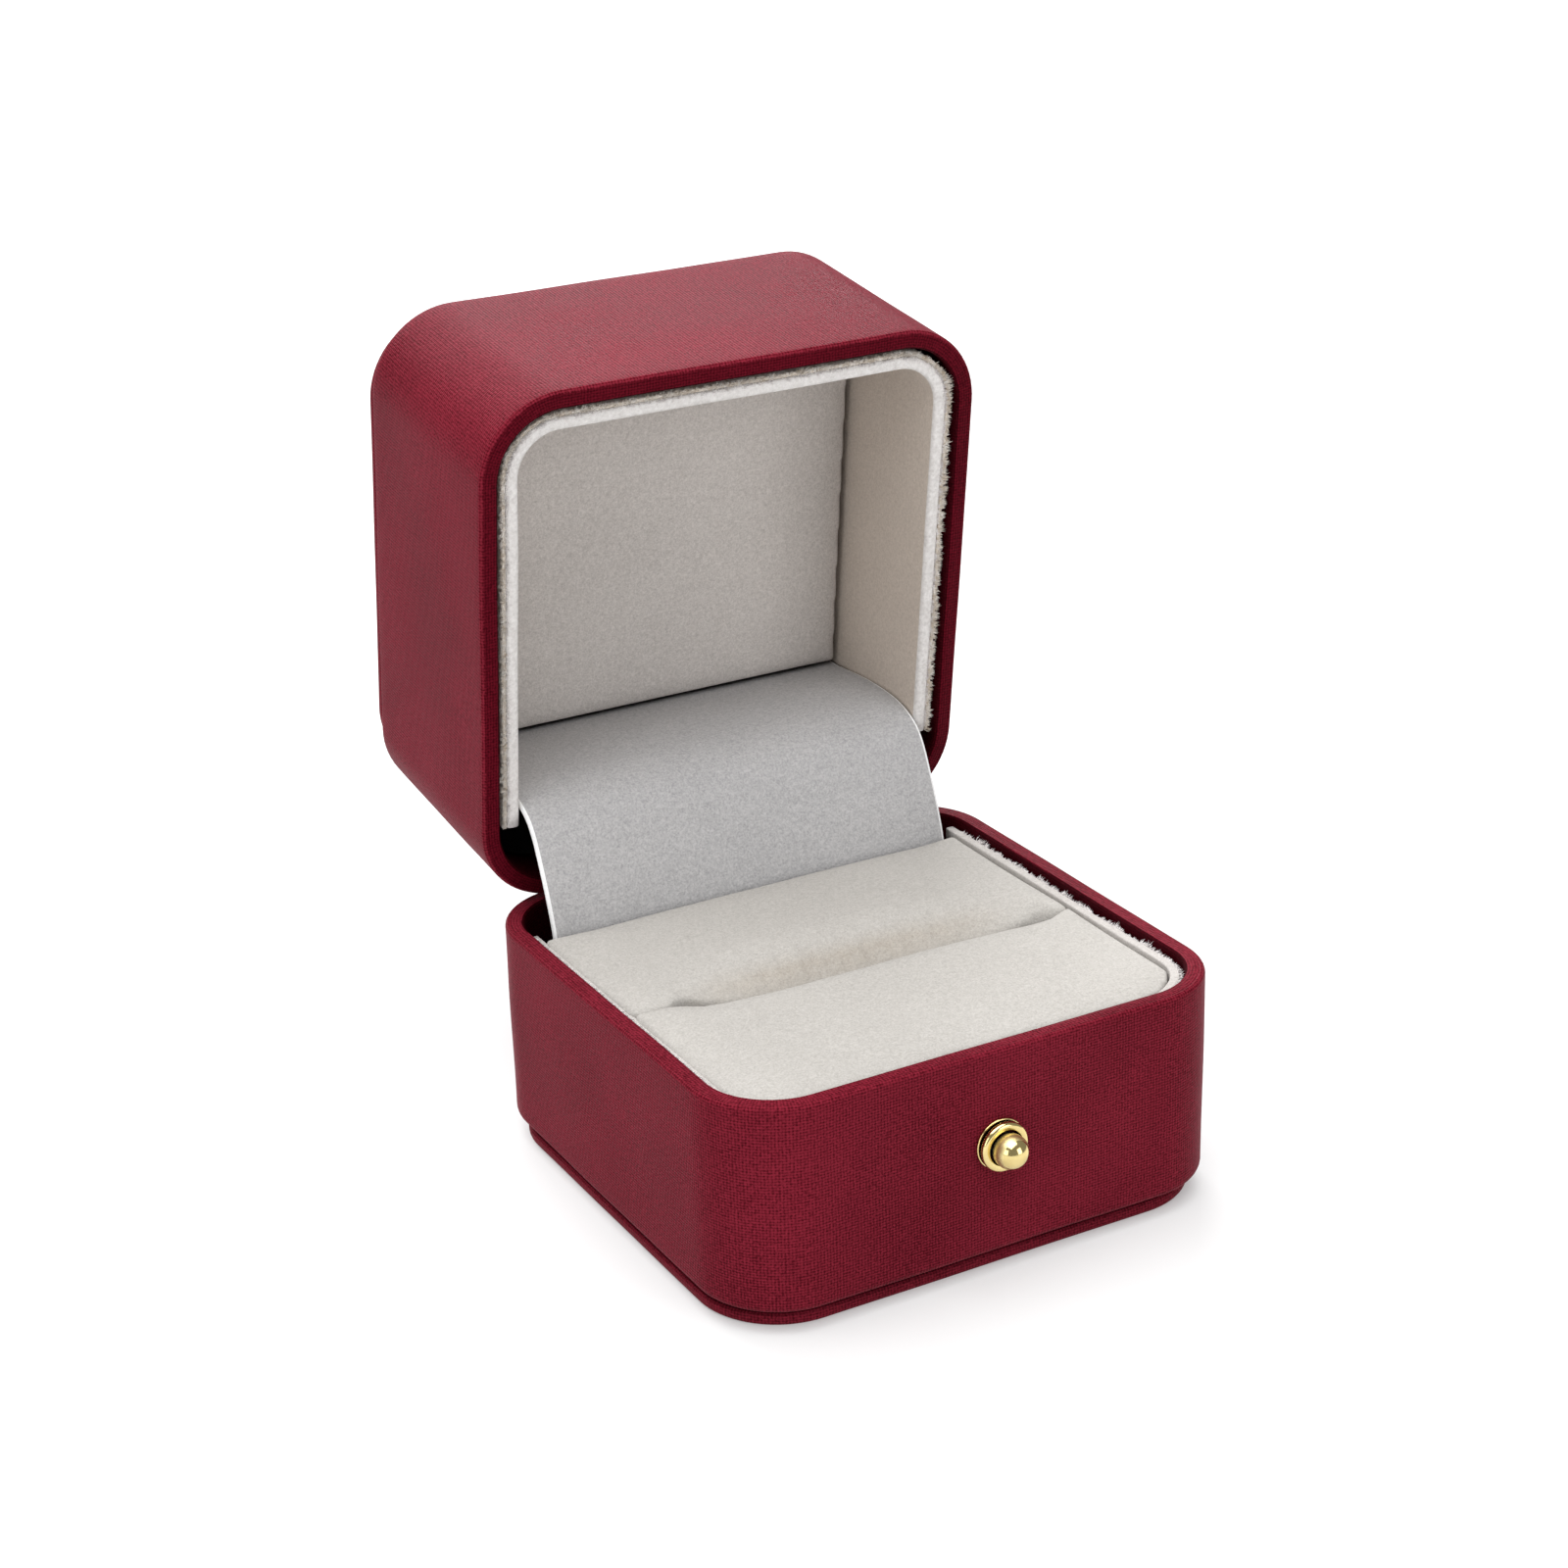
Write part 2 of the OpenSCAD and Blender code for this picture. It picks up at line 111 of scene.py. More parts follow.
# The same for a shell or board drawn standing on its foot, which a lid has at the top.
LID_TURNED = LID @ Matrix.Translation((0, 0, LID_H)) @ Matrix.Scale(-1, 4, (0, 0, 1))
HERE = Matrix.Identity(4)


# ---------------------------------------------------------------- mesh helpers
def make_mesh(name, points, faces, place=HERE, uvs=None, smooth=True):
    """A mesh object from points in millimetres, which the matrix place puts in the frame."""
    mesh = bpy.data.meshes.new(name)
    mesh.from_pydata([place @ Vector(p) * MM for p in points], [], faces)
    if uvs is not None:
        layer = mesh.uv_layers.new(name="mm")
        for loop in mesh.loops:
            layer.data[loop.index].uv = uvs[loop.vertex_index]
    work = bmesh.new()
    work.from_mesh(mesh)
    bmesh.ops.recalc_face_normals(work, faces=work.faces)
    for face in work.faces:
        face.smooth = smooth
    work.to_mesh(mesh)
    work.free()
    piece = bpy.data.objects.new(name, mesh)
    bpy.context.scene.collection.objects.link(piece)
    return piece


def case_path(width, depth, side_step=1.6, corner_steps=18):
    """Points anticlockwise round an outline from the middle of its back: place, normal, distance."""
    path = []
    along = 0.0
    half_w = width / 2 - CORNER_R
    half_d = depth / 2 - CORNER_R
    corners = [(-half_w, half_d, 90), (-half_w, -half_d, 180), (half_w, -half_d, 270), (half_w, half_d, 0)]
    previous = Vector((0, depth / 2))
    for cx, cy, first in corners:
        start = Vector((cx, cy)) + CORNER_R * direction(first)
        steps = max(2, round((start - previous).length / side_step))
        for k in range(steps):
            path.append((previous.lerp(start, k / steps), direction(first), along))
            along += (start - previous).length / steps
        for k in range(corner_steps):
            angle = first + 90 * k / corner_steps
            path.append((Vector((cx, cy)) + CORNER_R * direction(angle), direction(angle), along))
            along += math.radians(90 / corner_steps) * CORNER_R
        previous = Vector((cx, cy)) + CORNER_R * direction(first + 90)
    end = Vector((0, depth / 2))
    steps = max(2, round((end - previous).length / side_step))
    for k in range(steps):
        path.append((previous.lerp(end, k / steps), Vector((0, 1)), along))
        along += (end - previous).length / steps
    return path


def clamp(value):
    """A value held between 0 and 1."""
    return min(1.0, max(0.0, value))


def direction(angle):
    """The unit vector at an angle in degrees."""
    return Vector((math.cos(math.radians(angle)), math.sin(math.radians(angle))))


def arc(u, z, radius, first, last, steps=6):
    """Section points on an arc round (u, z); angle 0 points inwards and 90 upwards."""
    found = []
    for k in range(steps + 1):
        angle = math.radians(first + (last - first) * k / steps)
        found.append((u + radius * math.cos(angle), z + radius * math.sin(angle)))
    return found


def section_line(corners, step):
    """A section with its long straights cut into steps, so that its mesh bends smoothly."""
    found = []
    for k, here in enumerate(corners):
        there = corners[(k + 1) % len(corners)]
        length = math.dist(here, there)
        parts = max(1, round(length / step))
        for i in range(parts):
            t = i / parts
            found.append((here[0] + (there[0] - here[0]) * t, here[1] + (there[1] - here[1]) * t))
    return found


def sweep(name, path, section, place=HERE, closed=True, wobble=0.0, seed=0.0, change=None):
    """Carries a closed section of (inset, height) round a path of the case."""
    around = len(path)
    across = len(section)
    lengths = [0.0]
    for k in range(1, across):
        lengths.append(lengths[-1] + math.dist(section[k - 1], section[k]))
    points = []
    uvs = []
    for spot, normal, along in path:
        for (inset, height), up in zip(section, lengths):
            x, y = spot - normal * inset
            push = wobble * noise.noise(Vector((x * 0.07, y * 0.07, height * 0.09 + seed)))
            point = (x + normal[0] * push, y + normal[1] * push, height)
            points.append(change(*point) if change else point)
            uvs.append((along, up))
    faces = []
    for i in range(around if closed else around - 1):
        a = i * across
        b = (i + 1) % around * across
        for j in range(across):
            k = (j + 1) % across
            faces.append((a + j, a + k, b + k, b + j))
    if not closed:
        faces.append(tuple(range(across)))
        faces.append(tuple(reversed(range((around - 1) * across, around * across))))
    return make_mesh(name, points, faces, place, uvs)


def lathe(name, profile, middle, steps=72):
    """Turns a closed profile of (radius, distance towards the back) round an axis along Y."""
    points = []
    for k in range(steps):
        c = math.cos(2 * math.pi * k / steps)
        s = math.sin(2 * math.pi * k / steps)
        points += [(middle[0] + r * c, middle[1] + y, middle[2] + r * s) for r, y in profile]
    n = len(profile)
    faces = []
    for k in range(steps):
        a = k * n
        b = (k + 1) % steps * n
        for j in range(n):
            i = (j + 1) % n
            if profile[j][0] > 1e-6 or profile[i][0] > 1e-6:
                faces.append((a + j, b + j, b + i, a + i))
    piece = make_mesh(name, points, faces)
    work = bmesh.new()
    work.from_mesh(piece.data)
    bmesh.ops.remove_doubles(work, verts=work.verts, dist=1e-7)
    bmesh.ops.recalc_face_normals(work, faces=work.faces)
    work.to_mesh(piece.data)
    work.free()
    return piece


def only(piece):
    """Makes a piece the only one that the next operator works on."""
    bpy.ops.object.select_all(action="DESELECT")
    piece.select_set(True)
    bpy.context.view_layer.objects.active = piece


# ---------------------------------------------------------------- materials
def new_material(name):
    material = bpy.data.materials.new(name)
    material.use_nodes = True
    return material, material.node_tree, material.node_tree.nodes["Principled BSDF"]


def math_node(tree, operation, a, b=None):
    """One sum in a material; a and b are sockets or plain numbers."""
    node = tree.nodes.new("ShaderNodeMath")
    node.operation = operation
    for socket, value in zip(node.inputs, (a, b)):
        if isinstance(value, bpy.types.NodeSocket):
            tree.links.new(value, socket)
        elif value is not None:
            socket.default_value = value
    return node.outputs[0]


def scaled(tree, value, factor):
    return math_node(tree, "MULTIPLY", value, factor)


def weighted(tree, *parts):
    """The sum of (value, weight) pairs."""
    total = None
    for value, weight in parts:
        part = scaled(tree, value, weight)
        total = math_node(tree, "ADD", total, part) if total is not None else part
    return total


def ramp(tree, factor, stops):
    """A colour that runs through the stops, each a place from 0 to 1 and a colour."""
    node = tree.nodes.new("ShaderNodeValToRGB")
    tree.links.new(factor, node.inputs[0])
    elements = node.color_ramp.elements
    while len(elements) < len(stops):
        elements.new(0.5)
    for element, (spot, colour) in zip(elements, stops):
        element.position = spot
        element.color = (*colour, 1)
    return node.outputs[0]


def bump(tree, shader, height, strength, distance):
    node = tree.nodes.new("ShaderNodeBump")
    node.inputs["Strength"].default_value = strength
    node.inputs["Distance"].default_value = distance
    tree.links.new(height, node.inputs["Height"])
    tree.links.new(node.outputs[0], shader.inputs["Normal"])


def noise_node(tree, vector, scale, detail=2.0, roughness=0.5):
    node = tree.nodes.new("ShaderNodeTexNoise")
    node.inputs["Scale"].default_value = scale
    node.inputs["Detail"].default_value = detail
    node.inputs["Roughness"].default_value = roughness
    tree.links.new(vector, node.inputs["Vector"])
    return node.outputs["Fac"]


RIB_PITCH = 0.32
THREAD_PITCH = 0.36


def leatherette(name, dark, light, sheen=0.10):
    """Satin woven leatherette: fine ribs round the case, finer threads across them."""
    material, tree, shader = new_material(name)
    link = tree.links.new
    uv = tree.nodes.new("ShaderNodeUVMap")
    uv.uv_map = "mm"
    where = tree.nodes.new("ShaderNodeTexCoord").outputs["Object"]
    split = tree.nodes.new("ShaderNodeSeparateXYZ")
    link(uv.outputs[0], split.inputs[0])
    drift = scaled(tree, noise_node(tree, where, 140, 3), 5.0)
    rib_turn = math_node(tree, "ADD", scaled(tree, split.outputs["Y"], 2 * math.pi / RIB_PITCH), drift)
    rib = math_node(tree, "SINE", rib_turn)
    thread_turn = math_node(tree, "ADD", scaled(tree, split.outputs["X"], 2 * math.pi / THREAD_PITCH), drift)
    thread = math_node(tree, "SINE", thread_turn)
    weave = math_node(tree, "ADD", weighted(tree, (rib, 0.27), (thread, 0.23)), 0.5)
    grain = noise_node(tree, where, 4200, 2, 0.7)
    cloud = noise_node(tree, where, 60, 4, 0.6)
    mixed = weighted(tree, (weave, 0.22), (grain, 0.60), (cloud, 0.18))
    link(ramp(tree, mixed, [(0.38, dark), (0.62, light)]), shader.inputs["Base Color"])
    link(math_node(tree, "ADD", scaled(tree, cloud, 0.12), 0.42), shader.inputs["Roughness"])
    shader.inputs["Specular IOR Level"].default_value = 0.015
    shader.inputs["Sheen Weight"].default_value = sheen
    shader.inputs["Sheen Roughness"].default_value = 0.30
    shader.inputs["Sheen Tint"].default_value = (1.0, 0.42, 0.48, 1)
    height = math_node(tree, "ADD", weave, scaled(tree, grain, 0.9))
    bump(tree, shader, height, 0.6, 0.00005)
    return material


def velvet(name, dark, light, pile=4600, painted_shade=None):
    """Short cut pile: a fine speckle, faint clouds where the pile leans, and a slight pale sheen."""
    material, tree, shader = new_material(name)
    link = tree.links.new
    where = tree.nodes.new("ShaderNodeTexCoord").outputs["Object"]
    speckle = noise_node(tree, where, pile, 3, 0.65)
    tuft = noise_node(tree, where, pile * 0.42, 3, 0.6)
    cloud = noise_node(tree, where, 60, 3, 0.5)
    mixed = weighted(tree, (speckle, 0.6), (tuft, 0.28), (cloud, 0.12))
    colour = ramp(tree, mixed, [(0.36, dark), (0.62, light)])
    # An optional painted shade laid over the colour.
    if painted_shade:
        colour = painted_shade(tree, where, colour)
    link(colour, shader.inputs["Base Color"])
    link(math_node(tree, "ADD", scaled(tree, tuft, 0.15), 0.82), shader.inputs["Roughness"])
    shader.inputs["Specular IOR Level"].default_value = 0.05
    shader.inputs["Sheen Weight"].default_value = 0.08
    shader.inputs["Sheen Roughness"].default_value = 0.6
    height = math_node(tree, "ADD", speckle, scaled(tree, tuft, 0.8))
    bump(tree, shader, height, 0.6, 0.00012)
    return material


# Where the painted shade lies in the dip beside the slot, in millimetres.
DIP_SHADE_Y = 1.0
DIP_SHADE_REACH_Y = 5.8
DIP_SHADE_REACH_X = 21.5
DIP_SHADE_BELOW = 24.75
DIP_SHADE_FADE = 1.1


def paint_dip_shade(tree, where, colour):
    """Paints shade: darkens and warms a colour low down in the pads' dip beside the slot, where the dip lies
    in shade and takes warm bounced light.
    """
    split = tree.nodes.new("ShaderNodeSeparateXYZ")
    tree.links.new(where, split.inputs[0])
    away = math_node(tree, "ABSOLUTE", math_node(tree, "SUBTRACT", split.outputs["Y"], DIP_SHADE_Y * MM))
    behind = math_node(tree, "SUBTRACT", 1.0, math_node(tree, "DIVIDE", away, DIP_SHADE_REACH_Y * MM))
    behind = math_node(tree, "MAXIMUM", behind, 0.0)
    along = math_node(tree, "DIVIDE", math_node(tree, "ABSOLUTE", split.outputs["X"]), DIP_SHADE_REACH_X * MM)
    beside = math_node(tree, "SUBTRACT", 1.0, math_node(tree, "POWER", along, 3.0))
    beside = math_node(tree, "MAXIMUM", beside, 0.0)
    drop = math_node(tree, "SUBTRACT", DIP_SHADE_BELOW * MM, split.outputs["Z"])
    low = math_node(tree, "MAXIMUM", math_node(tree, "DIVIDE", drop, DIP_SHADE_FADE * MM), 0.0)
    low = math_node(tree, "MINIMUM", low, 1.0)
    patch = noise_node(tree, where, 700, 3, 0.6)
    shade_mask = math_node(tree, "MULTIPLY", math_node(tree, "MULTIPLY", behind, beside), low)
    shade_mask = math_node(tree, "MULTIPLY", shade_mask, math_node(tree, "ADD", patch, 0.6))
    blend = tree.nodes.new("ShaderNodeMix")
    blend.data_type = "RGBA"
    blend.blend_type = "MULTIPLY"
    blend.inputs["B"].default_value = (0.89, 0.85, 0.80, 1)
    tree.links.new(shade_mask, blend.inputs["Factor"])
    tree.links.new(colour, blend.inputs["A"])
    return blend.outputs["Result"]


def metal(name, dark, light, roughness):
    """Plated metal with faint clouding and hairline polish marks."""
    material, tree, shader = new_material(name)
    link = tree.links.new
    where = tree.nodes.new("ShaderNodeTexCoord").outputs["Object"]
    cloud = noise_node(tree, where, 400, 3)
    stretch = tree.nodes.new("ShaderNodeMapping")
    stretch.inputs["Scale"].default_value = (1, 1, 12)
    link(where, stretch.inputs["Vector"])
    marks = noise_node(tree, stretch.outputs[0], 1500, 2)
    link(ramp(tree, cloud, [(0.3, dark), (0.7, light)]), shader.inputs["Base Color"])
    shader.inputs["Metallic"].default_value = 1.0
    link(math_node(tree, "ADD", scaled(tree, marks, 0.12), roughness), shader.inputs["Roughness"])
    bump(tree, shader, marks, 0.05, 0.00001)
    return material


def plain_board(name, dark, light, scale, roughness):
    """Card, foam or moulded plastic: a mottled colour and a fine rough grain."""
    material, tree, shader = new_material(name)
    where = tree.nodes.new("ShaderNodeTexCoord").outputs["Object"]
    grain = noise_node(tree, where, scale, 4, 0.6)
    tree.links.new(ramp(tree, grain, [(0.3, dark), (0.7, light)]), shader.inputs["Base Color"])
    roughened = math_node(tree, "ADD", scaled(tree, grain, 0.2), roughness)
    tree.links.new(roughened, shader.inputs["Roughness"])
    bump(tree, shader, grain, 0.3, 0.00005)
    return material


LEATHER = leatherette("leatherette", (0.056, 0.0022, 0.0056), (0.200, 0.0150, 0.0290))
# Darker copies of the leather that paint shade on the lid's rim face and on the lips inside both rims.
SHADED_RIM_LEATHER = leatherette("rim_leatherette_painted_shade", (0.038, 0.0008, 0.0034), (0.110, 0.0045, 0.0120), 0.02)
SHADED_LIP_LEATHER = leatherette("lip_leatherette_painted_shade", (0.016, 0.0006, 0.0016), (0.046, 0.0020, 0.0052), 0.0)
# The pads' velvet takes painted shade low in the dip beside the slot.
CREAM = velvet("cream_velvet", (0.36, 0.342, 0.318), (0.50, 0.480, 0.452), painted_shade=paint_dip_shade)
LINER = velvet("liner_velvet", (0.40, 0.375, 0.355), (0.54, 0.515, 0.490))
LID_VELVET = velvet("lid_velvet", (0.44, 0.410, 0.390), (0.645, 0.608, 0.580))
WALL_VELVET = velvet("wall_velvet", (0.45, 0.388, 0.335), (0.60, 0.528, 0.462))
# A paler velvet that paints the highlight along the pads' edges and on the lid strip's rounded top.
HIGHLIGHT_EDGE_VELVET = velvet("edge_velvet_painted_highlight", (0.54, 0.515, 0.500), (0.73, 0.71, 0.695), 2600)
FLAP = velvet("flap_velvet", (0.31, 0.306, 0.310), (0.49, 0.480, 0.480), 4200)
CUT_EDGE = velvet("cut_edge", (0.75, 0.75, 0.75), (0.90, 0.90, 0.90), 5000)
RAW_EDGE = velvet("raw_edge", (0.50, 0.40, 0.28), (0.92, 0.88, 0.83), 2400)
FIBRE = velvet("fibre", (0.58, 0.48, 0.37), (0.95, 0.92, 0.88), 1400)
WHITE_FIBRE = velvet("white_fibre", (0.66, 0.61, 0.60), (0.95, 0.92, 0.91), 1400)
BRASS = metal("brass", (0.72, 0.57, 0.24), (0.84, 0.70, 0.33), 0.07)
# A near-black brass that paints shade on the washer's face and in the collar's bore and neck.
SHADED_BRASS = metal("brass_painted_shade", (0.022, 0.008, 0.006), (0.050, 0.020, 0.012), 0.35)
SATIN_BRASS = metal("satin_brass", (0.82, 0.68, 0.31), (0.92, 0.79, 0.41), 0.36)
DULL_BRASS = metal("dull_brass", (0.55, 0.40, 0.17), (0.68, 0.50, 0.24), 0.28)
BLACK_STEEL = metal("black_steel", (0.012, 0.010, 0.010), (0.025, 0.022, 0.020), 0.45)
STEEL = metal("steel", (0.42, 0.43, 0.45), (0.56, 0.57, 0.59), 0.25)
CORE = plain_board("core_plastic", (0.018, 0.017, 0.018), (0.035, 0.033, 0.034), 900, 0.5)
CARD = plain_board("card", (0.42, 0.32, 0.22), (0.55, 0.45, 0.34), 1400, 0.7)
FOAM = plain_board("foam", (0.62, 0.60, 0.56), (0.78, 0.76, 0.72), 2500, 0.8)


def dress(piece, material, body, slot, *nodes):
    """Gives a new piece its material and its body, and hides the CAD nodes that it stands for."""
    piece.data.materials.clear()
    piece.data.materials.append(material)
    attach(piece, body)
    if nodes:
        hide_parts(*nodes)
    return piece


# ---------------------------------------------------------------- shells and boards
path = case_path(CASE_W, CASE_D)


def wrap_section(height):
    """The wrap of a shell that stands on its foot: outside, over the rim, and down the lip."""
    skin = 0.5
    lip_end = height - 6
    inner = WALL_T
    outside = (
        [(3.0, SHELL_Z)]
        + arc(FOOT_R, SHELL_Z + FOOT_R, FOOT_R, -90, -180)
        + arc(RIM_R, height - RIM_R, RIM_R, 180, 96, 8)
        + [(RIM_R + 0.12, height - 0.06), (RIM_R + 0.22, height - 0.02)]
        + arc(inner - 0.42, height - 0.40, 0.40, 95, 0)
        + [(inner, lip_end)]
    )
    core_in = inner - skin
    inside = (
        [(core_in, lip_end)]
        + arc(core_in - 0.3, height - 0.8, 0.3, 0, 90, 3)
        + [(skin, height - skin)]
        + arc(FOOT_R, SHELL_Z + FOOT_R, FOOT_R - skin, 180, 270, 4)
        + [(3.0, SHELL_Z + skin)]
    )
    return section_line(outside + inside, 1.5)


def board_section():
    """The edge of the wrapped board, which is rounded more underneath."""
    edge = 0.7
    return section_line(
        arc(edge, edge, edge, 270, 180)
        + arc(0.45, PLATE_T - 0.45, 0.45, 180, 90)
        + [(5.0, PLATE_T), (5.0, 0)],
        2.0,
    )


def board_middle(name, place):
    """The middle of a board, inside its swept edge."""
    half_w = CASE_W / 2 - 6.0
    half_d = CASE_D / 2 - 6.0
    n = 12
    points = []
    faces = []
    for z in (0.002, PLATE_T - 0.002):
        for i in range(n + 1):
            for j in range(n + 1):
                points.append((-half_w + 2 * half_w * i / n, -half_d + 2 * half_d * j / n, z))
    size = (n + 1) ** 2
    for i in range(n):
        for j in range(n):
            a = i * (n + 1) + j
            faces.append((a, a + n + 1, a + n + 2, a + 1))
            faces.append((size + a, size + a + 1, size + a + n + 2, size + a + n + 1))
    rim = list(range(n + 1)) + [i * (n + 1) + n for i in range(1, n + 1)]
    rim += [n * (n + 1) + j for j in range(n - 1, -1, -1)] + [i * (n + 1) for i in range(n - 1, 0, -1)]
    for k, a in enumerate(rim):
        b = rim[(k + 1) % len(rim)]
        faces.append((a, b, size + b, size + a))
    uvs = [(p[0], p[1]) for p in points]
    return make_mesh(name, points, faces, place, uvs)


def rear_relief(x, y, z):
    """Rounds the lid's back edge about the hinge axis, so that it clears the base as it turns."""
    axis_z = LID_H - (HINGE_Z - BASE_H) + RIM_GAP
    reach = math.hypot(y - HINGE_Y, z - axis_z)
    limit = HINGE_Z - BASE_H - 0.08
    if y > HINGE_Y and z > axis_z and reach > limit:
        y = HINGE_Y + (y - HINGE_Y) * limit / reach
        z = axis_z + (z - axis_z) * limit / reach
    return x, y, z


def carve(piece, cutter):
    """Takes the cutter's shape out of a piece."""
    cut = piece.modifiers.new("cut", "BOOLEAN")
    cut.operation = "DIFFERENCE"
    cut.solver = "EXACT"
    cut.object = cutter
    only(piece)
    bpy.ops.object.modifier_apply(modifier="cut")
    bpy.data.objects.remove(cutter)


def cut_round(piece, radius, y_low, y_high):
    """Cuts a round hole for the button along Y."""
    profile = [(0, y_low), (radius, y_low), (radius, y_high), (0, y_high)]
    carve(piece, lathe("cutter", profile, BUTTON, 36))


def cut_notch(piece, length, depth, place):
    """Cuts the room for the hinge barrel out of the back edge of the lid."""
    half = length / 2 + 0.3
    depths = (BACK - 4, BACK + 2)
    heights = (LID_H - depth, LID_H + 1)
    corners = [(x, y, z) for x in (-half, half) for y in depths for z in heights]
    quads = [(0, 1, 3, 2), (4, 6, 7, 5), (0, 4, 5, 1), (2, 3, 7, 6), (0, 2, 6, 4), (1, 5, 7, 3)]
    carve(piece, make_mesh("notch_cutter", corners, quads, place, smooth=False))


def shade_rim(piece, place, height, rim_material):
    """Painted shade: the lip turned down inside the rim takes a near-black copy of the leather, and the
    rim's face takes rim_material, which on the lid is a darker copy.
    """
    piece.data.materials.append(rim_material)
    piece.data.materials.append(SHADED_LIP_LEATHER)
    back = place.inverted()
    for face in piece.data.polygons:
        x, y, z = back @ (face.center / MM)
        inset = min(CASE_W / 2 - abs(x), CASE_D / 2 - abs(y), corner_inset(x, y))
        if inset > WALL_T - 0.25 and z > height - 7:
            face.material_index = 2
        elif inset > RIM_R * 0.7 and z > height - 0.3:
            face.material_index = 1


def corner_inset(x, y):
    """How far a point near a rounded corner lies inside the outline; large elsewhere."""
    dx = abs(x) - (CASE_W / 2 - CORNER_R)
    dy = abs(y) - (CASE_D / 2 - CORNER_R)
    if dx > 0 and dy > 0:
        return CORNER_R - math.hypot(dx, dy)
    return CORNER_R


base_leather = dress(
    sweep("base_leather", path, wrap_section(BASE_H), wobble=0.09),
    LEATHER, "base", "leatherette", "base_wrap",
)
lid_leather = dress(
    sweep("lid_leather", path, wrap_section(LID_H), LID_TURNED, wobble=0.09, seed=9.0, change=rear_relief),
    LEATHER, "lid", "leatherette", "lid_wrap",
)
cut_notch(lid_leather, HINGE_L, NOTCH_DEPTH, LID_TURNED)
# Both shells' lips, and the lid's rim face, get painted shade.
shade_rim(base_leather, HERE, BASE_H, LEATHER)
shade_rim(lid_leather, LID_TURNED, LID_H, SHADED_RIM_LEATHER)
board_low, board_high = box_mm("base_plate")
board_path = case_path(board_high[0] - board_low[0], board_high[1] - board_low[1])
dress(
    sweep("base_board", board_path, board_section(), wobble=0.05),
    LEATHER, "base", "leatherette", "base_plate",
)
dress(board_middle("base_board_middle", HERE), LEATHER, "base", "leatherette")
dress(
    sweep("lid_board", board_path, board_section(), LID_TURNED, wobble=0.05, seed=5.0),
    LEATHER, "lid", "leatherette", "lid_plate",
)
dress(board_middle("lid_board_middle", LID_TURNED), LEATHER, "lid", "leatherette")


# ---------------------------------------------------------------- liners
def three_sides():
    """The part of the case's path that the liners follow: left side, front, right side."""
    end_y = CASE_D / 2 - CORNER_R
    return [p for p in path if p[0][1] <= end_y + 1e-6]


def base_tail(x, y, z):
    """Carries the strip's ends past the rear corners, and sinks it where the pad laps over it."""
    start = BACK - CORNER_R - 2.0
    if y > start:
        y = start + (y - start) * (base_strip_end - start) / (BACK - CORNER_R - start)
    if z > base_liner_top - 2:
        z -= 0.12 + 0.5 * lap(x, y)
    return x, y, z


def lap(x, y):
    """1 along the left and the front, where the pad covers the strip, and 0 along the right."""
    left = clamp((8.0 - x) / 16.0)
    front = clamp((-18.0 - y) / 6.0) * clamp((24.0 - x) / 4.0)
    return max(left, front)


def liner_section(inset, thick, low, high, edge):
    """A strip of card in velvet with a rounded top edge."""
    return section_line(
        [(inset, low)]
        + arc(inset + edge, high - edge, edge, 180, 90)
        + arc(inset + thick - edge, high - edge, edge, 90, 0)
        + [(inset + thick, low)],
        1.5,
    )


BASE_LINER_IN = WALL_T + 0.6
BASE_LINER_T = 1.0
LID_LINER_IN = WALL_T + 0.8
LID_LINER_T = 1.8
BACKING_T = 0.3
FLOOR_TOP = box_mm("base_liner")[0][2]
base_liner_top = BASE_H - 0.8
lid_liner_top = LID_H - 0.6
base_strip_end = box_mm("base_liner")[1][1]
sides = three_sides()

base_strip = sweep(
    "base_strip", sides, liner_section(BASE_LINER_IN, BASE_LINER_T, FLOOR_TOP, base_liner_top, 0.18),
    closed=False, wobble=0.12, seed=3.0, change=base_tail,
)
cut_round(base_strip, NUT_ROOM, FRONT + 1, FRONT + 6)
dress(base_strip, LINER, "base", "liner", "base_liner")
lid_strip = dress(
    sweep(
        "lid_strip", sides,
        liner_section(LID_LINER_IN + BACKING_T, LID_LINER_T - BACKING_T, FLOOR_TOP, lid_liner_top, 0.5),
        LID_TURNED, closed=False, wobble=0.10, seed=7.0,
    ),
    HIGHLIGHT_EDGE_VELVET, "lid", "liner", "lid_liner",
)
# The lid strip's rounded top keeps the paler velvet as a painted highlight; its sides below take the wall
# velvet.
lid_strip.data.materials.append(WALL_VELVET)
for face in lid_strip.data.polygons:
    if (LID_TURNED.inverted() @ (face.center / MM)).z < lid_liner_top - 0.6:
        face.material_index = 1
dress(
    sweep(
        "lid_backing", sides,
        liner_section(LID_LINER_IN - 0.15, BACKING_T + 0.15, FLOOR_TOP, lid_liner_top - 0.12, 0.25),
        LID_TURNED, closed=False, wobble=0.10, seed=7.0,
    ),
    RAW_EDGE, "lid", "liner",
)


def spike(points, faces, root, aim, bend, size, thick):
    """One fibre: a thin closed spike of three sides that bends over half way."""
    wide = aim.orthogonal().normalized() * thick
    other = aim.cross(wide)
    middle = root + aim * size * 0.55
    tip = middle + bend * size * 0.45
    first = len(points)
    for centre, shrink in ((root, 1.0), (middle, 0.8)):
        for corner in range(3):
            turn = 2 * math.pi * corner / 3
            points.append(centre + (wide * math.cos(turn) + other * math.sin(turn)) * shrink)
    points.append(tip)
    faces.append((first, first + 2, first + 1))
    for corner in range(3):
        following = (corner + 1) % 3
        faces.append((first + corner, first + following, first + 3 + following, first + 3 + corner))
        faces.append((first + 3 + corner, first + 3 + following, first + 6))


